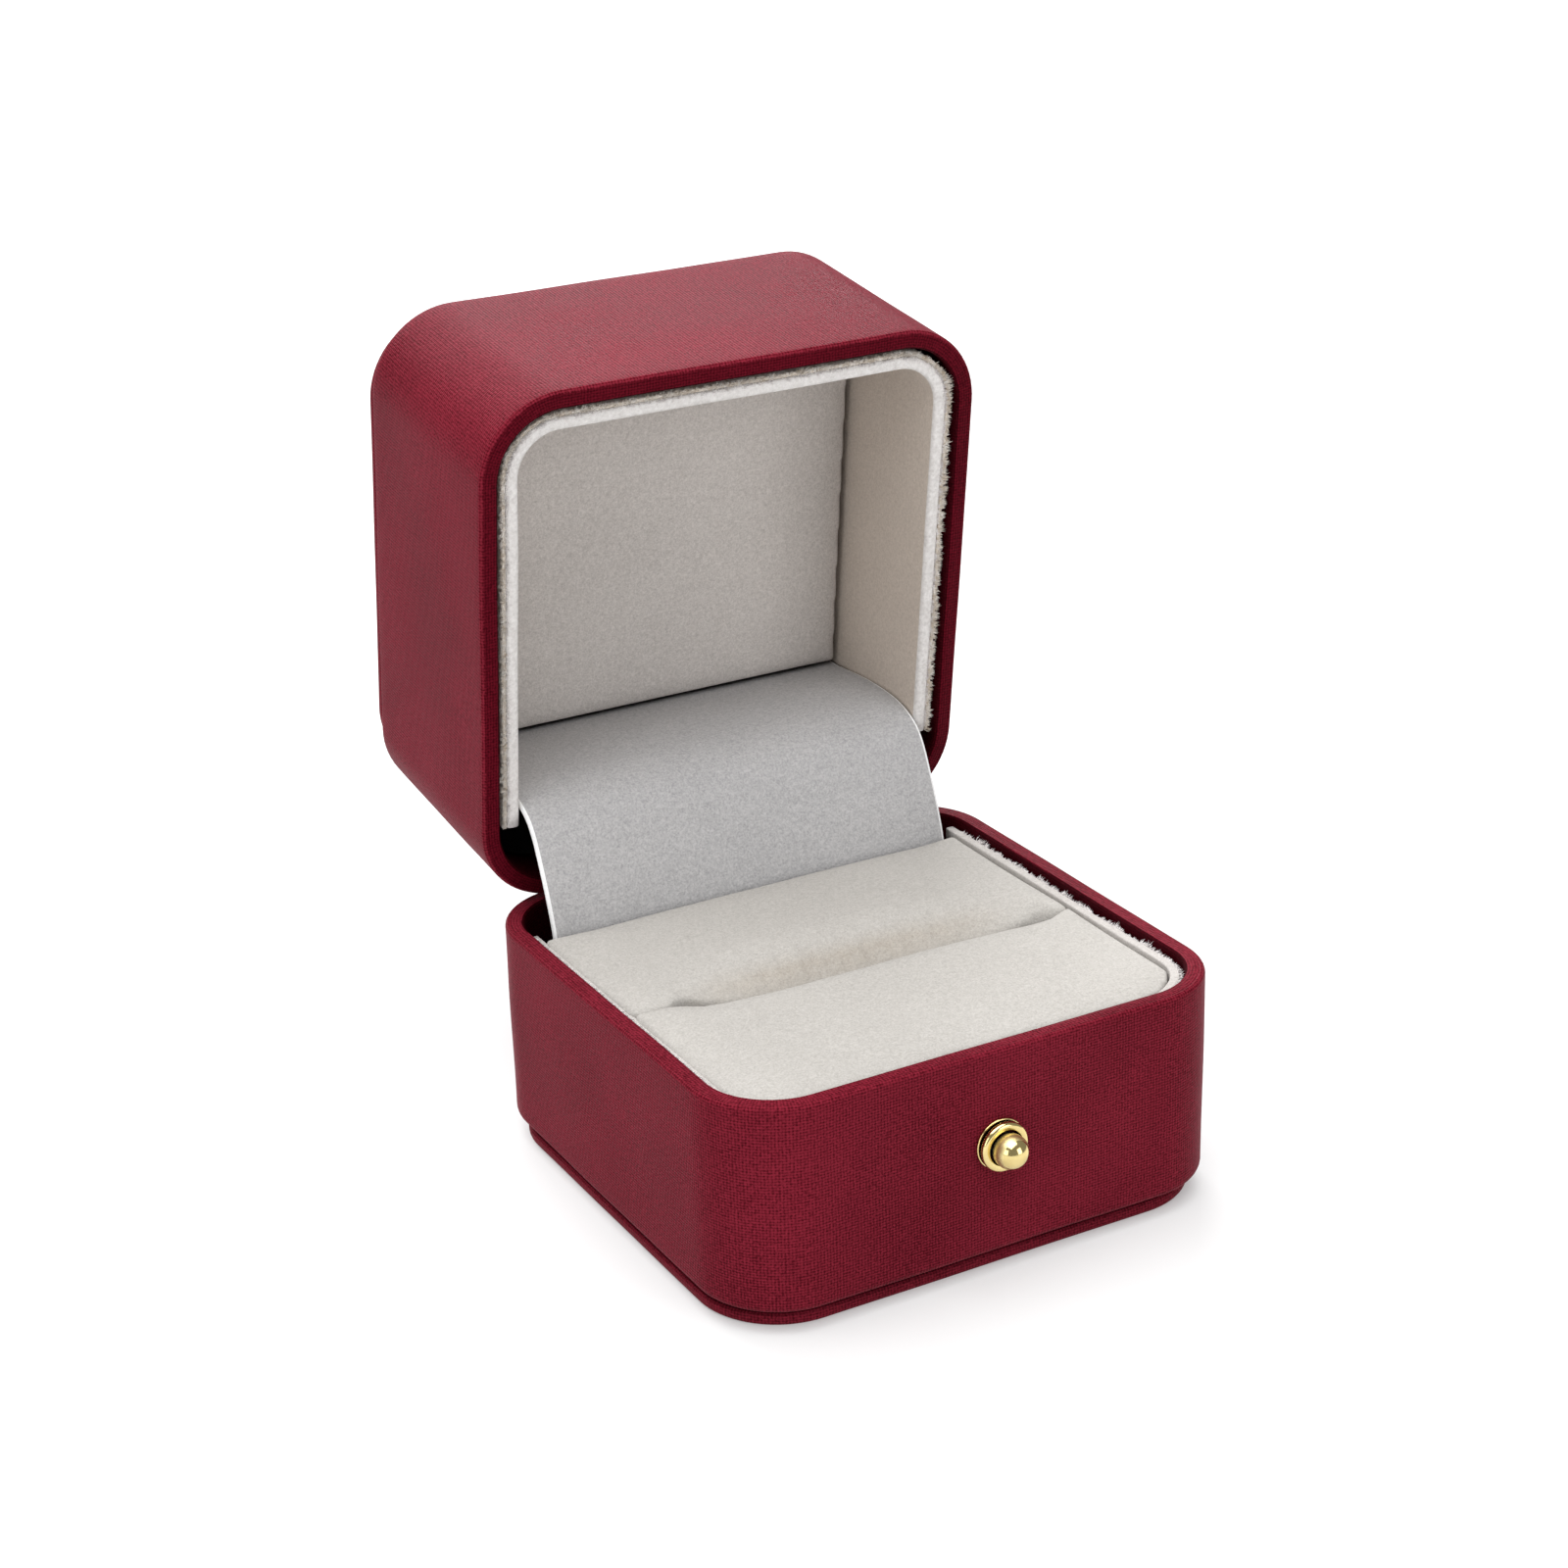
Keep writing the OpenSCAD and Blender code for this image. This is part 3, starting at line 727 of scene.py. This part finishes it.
def fray(name, inset, width, top, place, seed, tuft_gap, length, outwards, thick=0.035):
    """Tufts of loose fibres along the cut edge of a strip, leaning outwards into the gap."""
    chance = random.Random(seed)
    points = []
    faces = []
    for k in range(len(sides) - 1):
        (a, na, sa), (b, nb, sb) = sides[k], sides[k + 1]
        for _ in range(max(1, round((sb - sa) / tuft_gap))):
            t = chance.random()
            normal = na.lerp(nb, t).normalized()
            out = Vector((normal[0], normal[1], 0))
            side = Vector((-normal[1], normal[0], 0))
            patch = 0.75 + 0.7 * noise.noise(Vector((a[0] * 0.3, a[1] * 0.3, seed)))
            size = length * max(0.35, patch) * chance.uniform(0.55, 1.35)
            lean = out * outwards * chance.uniform(0.5, 1.3) + side * chance.uniform(-0.5, 0.5)
            lean += Vector((0, 0, chance.uniform(0.15, 0.8)))
            spot = a.lerp(b, t) - normal * inset
            for _ in range(chance.randint(8, 14)):
                away = chance.uniform(0.0, width)
                slide = chance.gauss(0.0, 0.09)
                sunk = chance.uniform(0.02, 0.30)
                root = Vector((spot[0], spot[1], top - sunk)) - out * away + side * slide
                jitter = Vector([chance.gauss(0, 0.22) for _ in range(3)])
                aim = (lean + jitter).normalized()
                bend = (aim + 0.5 * side * chance.uniform(-1, 1) + 0.35 * out).normalized()
                spike(points, faces, root, aim, bend, size * chance.uniform(0.6, 1.15), thick)
    return make_mesh(name, points, faces, place)


dress(
    fray("base_fray", BASE_LINER_IN, 0.30, base_liner_top - 0.25, HERE, 4, 0.24, 0.80, 0.9),
    WHITE_FIBRE, "base", "liner",
)
dress(
    fray("lid_fray", LID_LINER_IN - 0.15, 0.5, lid_liner_top - 0.1, LID_TURNED, 8, 0.15, 0.70, 0.8),
    FIBRE, "lid", "liner",
)
dress(
    fray("lid_fluff", LID_LINER_IN + BACKING_T, 0.5, lid_liner_top, LID_TURNED, 12, 0.20, 0.32, 0.5),
    WHITE_FIBRE, "lid", "liner",
)


# ---------------------------------------------------------------- pads
def prism(name, outline, low, high, place=HERE):
    """A closed block on an outline of (x, y)."""
    n = len(outline)
    points = [(x, y, low) for x, y in outline] + [(x, y, high) for x, y in outline]
    faces = [tuple(reversed(range(n))), tuple(range(n, 2 * n))]
    for k in range(n):
        following = (k + 1) % n
        faces.append((k, following, n + following, n + k))
    return make_mesh(name, points, faces, place)


def inner_outline(inset, y_low, y_high, corner_steps=8):
    """The case's outline taken in by an inset, cut between two depths."""
    half_w = CASE_W / 2 - inset
    radius = CORNER_R - inset
    points = []
    if y_low < FRONT + CORNER_R:
        for sign, first in ((-1, 180), (1, 270)):
            centre = Vector((sign * (half_w - radius), FRONT + CORNER_R))
            for k in range(corner_steps + 1):
                points.append(tuple(centre + radius * direction(first + 90 * k / corner_steps)))
    else:
        points += [(-half_w, y_low), (half_w, y_low)]
    points += [(half_w, y_high), (-half_w, y_high)]
    return points


def puff(piece, voxel, pressure, cap, rounds=20):
    """Remeshes a soft block, swells it as cloth under pressure, and holds each point near its start."""
    zoom = 10.0
    piece.data.transform(Matrix.Scale(zoom, 4))
    only(piece)
    remesh = piece.modifiers.new("remesh", "REMESH")
    remesh.mode = "VOXEL"
    remesh.voxel_size = voxel * MM * zoom
    bpy.ops.object.modifier_apply(modifier="remesh")
    smooth = piece.modifiers.new("smooth", "SMOOTH")
    smooth.iterations = 3
    bpy.ops.object.modifier_apply(modifier="smooth")
    start = np.empty(len(piece.data.vertices) * 3)
    piece.data.vertices.foreach_get("co", start)
    cloth = piece.modifiers.new("cloth", "CLOTH")
    cloth.settings.use_pressure = True
    cloth.settings.uniform_pressure_force = pressure
    cloth.settings.effector_weights.gravity = 0
    cloth.settings.quality = 5
    cloth.point_cache.frame_end = rounds
    for number in range(1, rounds + 1):
        bpy.context.scene.frame_set(number)
    swollen = np.empty_like(start)
    shown = piece.evaluated_get(bpy.context.evaluated_depsgraph_get())
    shown.data.vertices.foreach_get("co", swollen)
    piece.modifiers.remove(cloth)
    bpy.context.scene.frame_set(1)
    move = (swollen - start).reshape(-1, 3)
    reach = np.linalg.norm(move, axis=1, keepdims=True)
    limit = cap * MM * zoom
    move *= np.tanh(reach / limit) * limit / np.maximum(reach, 1e-12)
    piece.data.vertices.foreach_set("co", (start.reshape(-1, 3) + move).ravel())
    piece.data.transform(Matrix.Scale(1 / zoom, 4))
    finer = piece.modifiers.new("finer", "SUBSURF")
    finer.levels = 1
    finer.render_levels = 1
    only(piece)
    bpy.ops.object.modifier_apply(modifier="finer")
    for face in piece.data.polygons:
        face.use_smooth = True
    return piece


def reshape(piece, change):
    """Moves each vertex by change(x, y, z), in millimetres."""
    for vertex in piece.data.vertices:
        vertex.co = Vector(change(*(vertex.co / MM))) * MM


def bell(value):
    """1 in the middle and 0 from 1 outwards, with no kink."""
    value = min(1.0, abs(value))
    return (1 - value * value) ** 2


front_high = box_mm("pad_front")[1]
rear_low, rear_high = box_mm("pad_rear")
SLOT_Y = front_high[1]
REAR_Y = rear_low[1]
PAD_TOP = front_high[2]
PAD_IN = CASE_W / 2 - front_high[0]
SLOT_HALF = 22.0
SLOT_MIDDLE = 1.5
PAD_BOTTOM = PAD_TOP - 9.0
PAD_CROWN = 0.50
DIP_DEPTH = 3.4
DIP_LENGTH = 8.5
CLIP_DENT = 1.3
CLIP_DENT_R = 4.2


def over_strip(x, y, z):
    """Spreads the top of a pad over the strip on the left and front, and against it on the right."""
    top = clamp((z - PAD_TOP + 1.6) / 1.2)
    grow = 0.85 * lap(x, y) * top
    near_side = clamp((-x - 22.0) / 4.0)
    near_front = clamp((-y - 22.0) / 4.0)
    far_side = 0.28 * top * (1 - lap(x, y)) * clamp((x - 22.0) / 4.0)
    return x - grow * near_side + far_side, y - grow * near_front


def pad_height(x, y):
    """How far the top of the pads stands above its corners: one crown over both halves."""
    ripple = noise.noise(Vector((x * 0.10, y * 0.10, 2)))
    return PAD_CROWN * bell((y + 5) / 34) * bell(x / 31) - 0.07 * (1 + ripple)


def slot_bend(x):
    """The slot bows back towards its left end."""
    return -1.3 + 2.6 * clamp((-x - 8.0) / 13.0) ** 2


def past_slot(x):
    """0 along the slot, and 1 past its ends, where the two halves close up."""
    return clamp((abs(x - SLOT_MIDDLE) - SLOT_HALF + 1.0) / 3.0)


def front_shape(x, y, z):
    """The front pad's back edge follows the slot, and its front is dented to clear the button's clip."""
    near = clamp((y - SLOT_Y + 4.0) / 4.0)
    new_x, new_y = over_strip(x, y, z)
    new_y += (slot_bend(x) + 1.6 * past_slot(x)) * near
    if y < FRONT + 6:
        beside = math.hypot(x, z - BUTTON_Z) / CLIP_DENT_R
        new_y += CLIP_DENT * max(0.0, 1 - beside * beside)
    if z > PAD_TOP - 2:
        z += pad_height(x, new_y)
    return new_x, new_y, z


def rear_shape(x, y, z):
    """The rear pad dips to the slot in the middle and meets the front pad at the slot's ends."""
    near = max(0.0, 1 - (y - REAR_Y) / 4.0)
    new_x, new_y = over_strip(x, y, z)
    new_y += (slot_bend(x) + 0.3 - 1.9 * past_slot(x)) * near
    depth = clamp((z - PAD_BOTTOM) / (PAD_TOP - PAD_BOTTOM))
    fall = max(0.0, 1 - (y - REAR_Y) / DIP_LENGTH)
    middle = max(0.0, 1 - (abs(x - SLOT_MIDDLE) / (SLOT_HALF + 0.5)) ** 3)
    crease = noise.noise(Vector((x * 0.55, y * 0.30, 4)))
    crease += 0.6 * noise.noise(Vector((x * 1.3, y * 0.8, 9)))
    z -= (DIP_DEPTH * fall ** 2 + 0.22 * crease * min(1.0, 2 * fall)) * middle * depth
    if z > PAD_TOP - 5:
        z += pad_height(x, new_y)
    return new_x, new_y, z


def paint_edge_highlight(piece):
    """Paints a highlight: the velvet along the left and the front of a pad's top is paler, where its edge
    catches the light.
    """
    piece.data.materials.append(HIGHLIGHT_EDGE_VELVET)
    for face in piece.data.polygons:
        x, y, z = face.center / MM
        inset = min(CASE_W / 2 - abs(x), y - FRONT, corner_inset(x, y))
        if inset < BASE_LINER_IN + 0.45 and z > PAD_TOP - 1:
            face.material_index = 1


def ring_pad(name, node, outline, shape):
    """One half of the ring pad: swollen, shaped and lined up with its CAD node."""
    pad = prism(name, outline, PAD_BOTTOM, PAD_TOP + 0.25)
    puff(pad, 0.6, 4.0, 0.30)
    reshape(pad, shape)
    dress(pad, CREAM, "base", "velvet", node)
    paint_edge_highlight(pad)
    return pad


front_outline = inner_outline(PAD_IN - 0.1, FRONT, SLOT_Y - 0.1)
pad_front = ring_pad("ring_pad_front", "pad_front", front_outline, front_shape)
rear_outline = inner_outline(PAD_IN - 0.1, REAR_Y + 0.1, rear_high[1])
pad_rear = ring_pad("ring_pad_rear", "pad_rear", rear_outline, rear_shape)

LID_PAD_DEPTH = 17.8
LID_PAD_T = 3.0
LID_PAD_REAR = 19.3
lid_pad = prism(
    "lid_cushion",
    inner_outline(LID_LINER_IN + LID_LINER_T + 0.45, FRONT, LID_PAD_REAR - 0.1),
    LID_PAD_DEPTH + 0.15,
    LID_PAD_DEPTH + LID_PAD_T - 0.1,
    LID,
)
puff(lid_pad, 0.6, 3.0, 0.30)
dress(lid_pad, LID_VELVET, "lid", "velvet", "lid_pad")


# ---------------------------------------------------------------- hinge flap
def spline(points, step):
    """A smooth line through points of (y, z), cut into even steps."""
    fine = []
    for k in range(len(points) - 1):
        p0 = Vector(points[max(0, k - 1)])
        p1 = Vector(points[k])
        p2 = Vector(points[k + 1])
        p3 = Vector(points[min(len(points) - 1, k + 2)])
        for i in range(24):
            t = i / 24
            fine.append(
                0.5 * (2 * p1 + (p2 - p0) * t + (2 * p0 - 5 * p1 + 4 * p2 - p3) * t * t
                       + (3 * p1 - p0 - 3 * p2 + p3) * t ** 3)
            )
    fine.append(Vector(points[-1]))
    even = [fine[0]]
    for point in fine[1:]:
        if (point - even[-1]).length >= step:
            even.append(point)
    even[-1] = fine[-1]
    return even


flap_low, flap_high = box_mm("hinge_flap")
FLAP_W = flap_high[0] - flap_low[0]
FLAP_T = 0.7
FLAP_LINE = [
    (20.6, 14.0), (20.6, 20.0), (20.7, 23.6), (21.7, 27.2), (23.2, 31.0), (24.9, 34.6), (26.6, 36.5),
    (29.6, 37.8), (33.2, 38.25), (38.0, 38.3), (43.0, 38.05), (46.0, 38.1),
]


def flap_mesh():
    """The flap as one bent band with rounded cut edges."""
    line = spline(FLAP_LINE, 0.6)
    half = FLAP_W / 2
    edge = FLAP_T / 2
    turns = [math.radians(a) for a in (0, 30, 60)]
    left = [(-half + edge * (1 - math.cos(a)), math.sin(a)) for a in turns]
    right = [(-x, h) for x, h in reversed(left)]
    across = left + [(-half + edge + (FLAP_W - FLAP_T) * k / 40, 1.0) for k in range(41)] + right
    loop = across + [(x, -h) for x, h in reversed(across[1:-1])]
    points = []
    for k, spot in enumerate(line):
        ahead = line[min(k + 1, len(line) - 1)] - line[max(k - 1, 0)]
        side = Vector((-ahead[1], ahead[0])).normalized()
        for x, h in loop:
            sway = 0.18 * noise.noise(Vector((x * 0.06, k * 0.05, 11)))
            out = side * (h * edge + sway * (1 if 4 < k < len(line) - 4 else 0))
            points.append((x, spot[0] + out[0], spot[1] + out[1]))
    n = len(loop)
    faces = []
    for k in range(len(line) - 1):
        for j in range(n):
            i = (j + 1) % n
            faces.append((k * n + j, k * n + i, (k + 1) * n + i, (k + 1) * n + j))
    faces.append(tuple(reversed(range(n))))
    faces.append(tuple(range((len(line) - 1) * n, len(line) * n)))
    length = sum((line[k + 1] - line[k]).length for k in range(len(line) - 1))
    return make_mesh("velvet_flap", points, faces), length


flap, flap_length = flap_mesh()
flap.data.materials.append(FLAP)
flap.data.materials.append(CUT_EDGE)
for face in flap.data.polygons:
    if abs(face.center[0]) / MM > FLAP_W / 2 - 0.3:
        face.material_index = 1
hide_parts("hinge_flap")
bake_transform(flap)


# ---------------------------------------------------------------- button
def round_over(radius, back, edge, first, last, steps=8):
    """Profile points of a rounded edge; angle 0 points outwards and 90 to the front."""
    found = []
    for k in range(steps + 1):
        angle = math.radians(first + (last - first) * k / steps)
        found.append((radius + edge * math.cos(angle), back - edge * math.sin(angle)))
    return found


def shade_ring(piece, material, wanted):
    """Gives another material to the faces that wanted(distance from the button's axis, y) picks: painted
    shade on the washer and the collar, a satin finish on the ball.
    """
    piece.data.materials.append(material)
    for face in piece.data.polygons:
        x, y, z = face.center / MM
        if wanted(math.hypot(x, z - BUTTON_Z), y):
            face.material_index = 1


NECK_R = 2.4
STEM_R = 0.7
BORE_R = 1.94
BORE_END = FRONT + 1.7
washer_r = (washer_high[0] - washer_low[0]) / 2
washer = lathe(
    "brass_washer",
    [(NECK_R + 0.04, FRONT), (washer_r, FRONT)]
    + round_over(washer_r - 0.12, washer_low[1] + 0.12, 0.12, 0, 90, 4)
    + [(NECK_R + 0.04, washer_low[1])],
    BUTTON,
)
dress(washer, BRASS, "base", "brass", "button_washer")
# Painted shade: all of the washer except its rounded rim is near-black.
shade_ring(washer, SHADED_BRASS, lambda away, y: away < washer_r - 0.16)

collar_r = (collar_high[0] - collar_low[0]) / 2
collar_front = collar_low[1]
collar = lathe(
    "brass_collar",
    [(NECK_R - 0.1, collar_high[1]), (NECK_R, collar_high[1]), (NECK_R, washer_low[1])]
    + round_over(collar_r - 0.42, collar_front + 0.46, 0.42, -80, 90, 12)
    + round_over(BORE_R + 0.12, collar_front + 0.16, 0.12, 100, 180, 4)
    + [(BORE_R, BORE_END), (STEM_R + 0.06, BORE_END), (STEM_R + 0.06, collar_high[1])],
    BUTTON,
)
dress(collar, BRASS, "base", "brass", "button_collar")
# Painted shade in the collar's bore and on its neck behind the washer.
shade_ring(collar, SHADED_BRASS, lambda away, y: away < BORE_R + 0.05 or y > washer_low[1] - 0.12)

cad_ball_r = (ball_high[0] - ball_low[0]) / 2
ball_r = cad_ball_r + 0.04
ball_y = ball_low[1] + ball_r + 0.12
ball_back = ball_low[1] + cad_ball_r + 0.7
skirt_r = 1.68
turns = [math.radians(a) for a in range(3, 115, 3)]
ball = lathe(
    "brass_ball",
    [(0, ball_y - ball_r)]
    + [(ball_r * math.sin(a), ball_y - ball_r * math.cos(a)) for a in turns]
    + [(skirt_r, ball_back), (STEM_R, ball_back)]
    + [(STEM_R, ball_high[1] - 0.1), (STEM_R - 0.1, ball_high[1]), (0, ball_high[1])],
    BUTTON,
)
dress(ball, BRASS, "button", "brass", "button_plunger")
shade_ring(ball, SATIN_BRASS, lambda away, y: away > 0.86 * ball_r or y > ball_y)


# ---------------------------------------------------------------- springs
def loose_copy(node_name, name, material):
    """A copy of a CAD spring's mesh, free of its node."""
    node = frame["nodes"][node_name]
    piece = bpy.data.objects.new(name, node.data.copy())
    bpy.context.scene.collection.objects.link(piece)
    piece.data.transform(node.matrix_world)
    piece.data.materials.clear()
    piece.data.materials.append(material)
    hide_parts(node_name)
    return piece


button_coil = loose_copy("button_spring", "push_coil", BLACK_STEEL)
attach(button_coil, "base")
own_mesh(button_coil)
hinge_coil = loose_copy("hinge_spring", "lid_coil", STEEL)
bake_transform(hinge_coil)


# ---------------------------------------------------------------- CAD nodes that stay
STAYING = {
    CORE: ["base_core", "lid_core"],
    CARD: ["pad_tray"],
    FOAM: ["lid_foam"],
    DULL_BRASS: ["base_leaf", "base_leaf_rivets", "lid_leaf", "lid_leaf_rivets"],
    STEEL: ["hinge_pin", "button_nut", "button_clip"],
}
for material, names in STAYING.items():
    for name in names:
        node = frame["nodes"][name]
        node.data.materials.clear()
        node.data.materials.append(material)


# ---------------------------------------------------------------- floor, light and camera
def floor():
    """A pale table with a faint mottle."""
    material, tree, shader = new_material("table")
    where = tree.nodes.new("ShaderNodeTexCoord").outputs["Object"]
    mottle = noise_node(tree, where, 12, 2)
    tone = ramp(tree, mottle, [(0.3, (0.50, 0.50, 0.50)), (0.7, (0.52, 0.52, 0.52))])
    tree.links.new(tone, shader.inputs["Base Color"])
    shader.inputs["Roughness"].default_value = 0.9
    shader.inputs["Specular IOR Level"].default_value = 0.0
    shader.inputs["Emission Color"].default_value = (1, 1, 1, 1)
    shader.inputs["Emission Strength"].default_value = 0.32
    half = 6000
    corners = [(-half, -half, 0), (half, -half, 0), (half, half, 0), (-half, half, 0)]
    table = make_mesh("table_top", corners, [(0, 1, 2, 3)])
    table.data.materials.append(material)
    table.location.z = -0.00002


def softbox(name, spot, aim, width, height, power):
    """A rectangular lamp at a spot, turned to face another; metres and watts."""
    lamp = bpy.data.lights.new(name, "AREA")
    lamp.shape = "RECTANGLE"
    lamp.size = width
    lamp.size_y = height
    lamp.energy = power
    holder = bpy.data.objects.new(name, lamp)
    bpy.context.scene.collection.objects.link(holder)
    holder.location = spot
    holder.rotation_euler = (Vector(aim) - Vector(spot)).to_track_quat("-Z", "Y").to_euler()


def camera():
    """Stands where the photographer stood, a little above the box and to its left."""
    azimuth = math.radians(-28.692)
    elevation = math.radians(22.390)
    roll = math.radians(-1.703)
    distance = 336.46
    back = Vector((
        math.sin(azimuth) * math.cos(elevation),
        -math.cos(azimuth) * math.cos(elevation),
        math.sin(elevation),
    ))
    right = Vector((math.cos(azimuth), math.sin(azimuth), 0))
    up = back.cross(right)
    turned_right = right * math.cos(roll) + up * math.sin(roll)
    turned_up = up * math.cos(roll) - right * math.sin(roll)
    target = Vector((0, 0, 30)) - 6.256 * right + 12.932 * up
    spot = (target + back * distance) * MM
    lens = bpy.data.cameras.new("camera")
    lens.lens = 72.32
    lens.sensor_width = 36
    lens.clip_start = 0.01
    holder = bpy.data.objects.new("camera", lens)
    bpy.context.scene.collection.objects.link(holder)
    turn = Matrix((turned_right, turned_up, back)).transposed()
    holder.matrix_world = Matrix.Translation(spot) @ turn.to_4x4()
    bpy.context.scene.camera = holder


floor()
softbox("overhead", (-0.15, -0.05, 0.9), (0, 0, 0.03), 1.2, 1.0, 14.0)
softbox("behind", (0.15, 0.80, 0.50), (0, 0.03, 0.07), 0.9, 0.5, 11.0)
softbox("front_left", (-0.95, -0.45, 0.35), (0, 0, 0.03), 0.5, 0.6, 2.2)
softbox("front_right", (0.45, -0.95, 0.35), (0, 0, 0.03), 0.5, 0.6, 2.8)
world = bpy.data.worlds.new("room")
world.use_nodes = True
world.node_tree.nodes["Background"].inputs["Color"].default_value = (1, 1, 1, 1)
world.node_tree.nodes["Background"].inputs["Strength"].default_value = 0.30
bpy.context.scene.world = world
bpy.context.scene.view_settings.view_transform = "Standard"
camera()
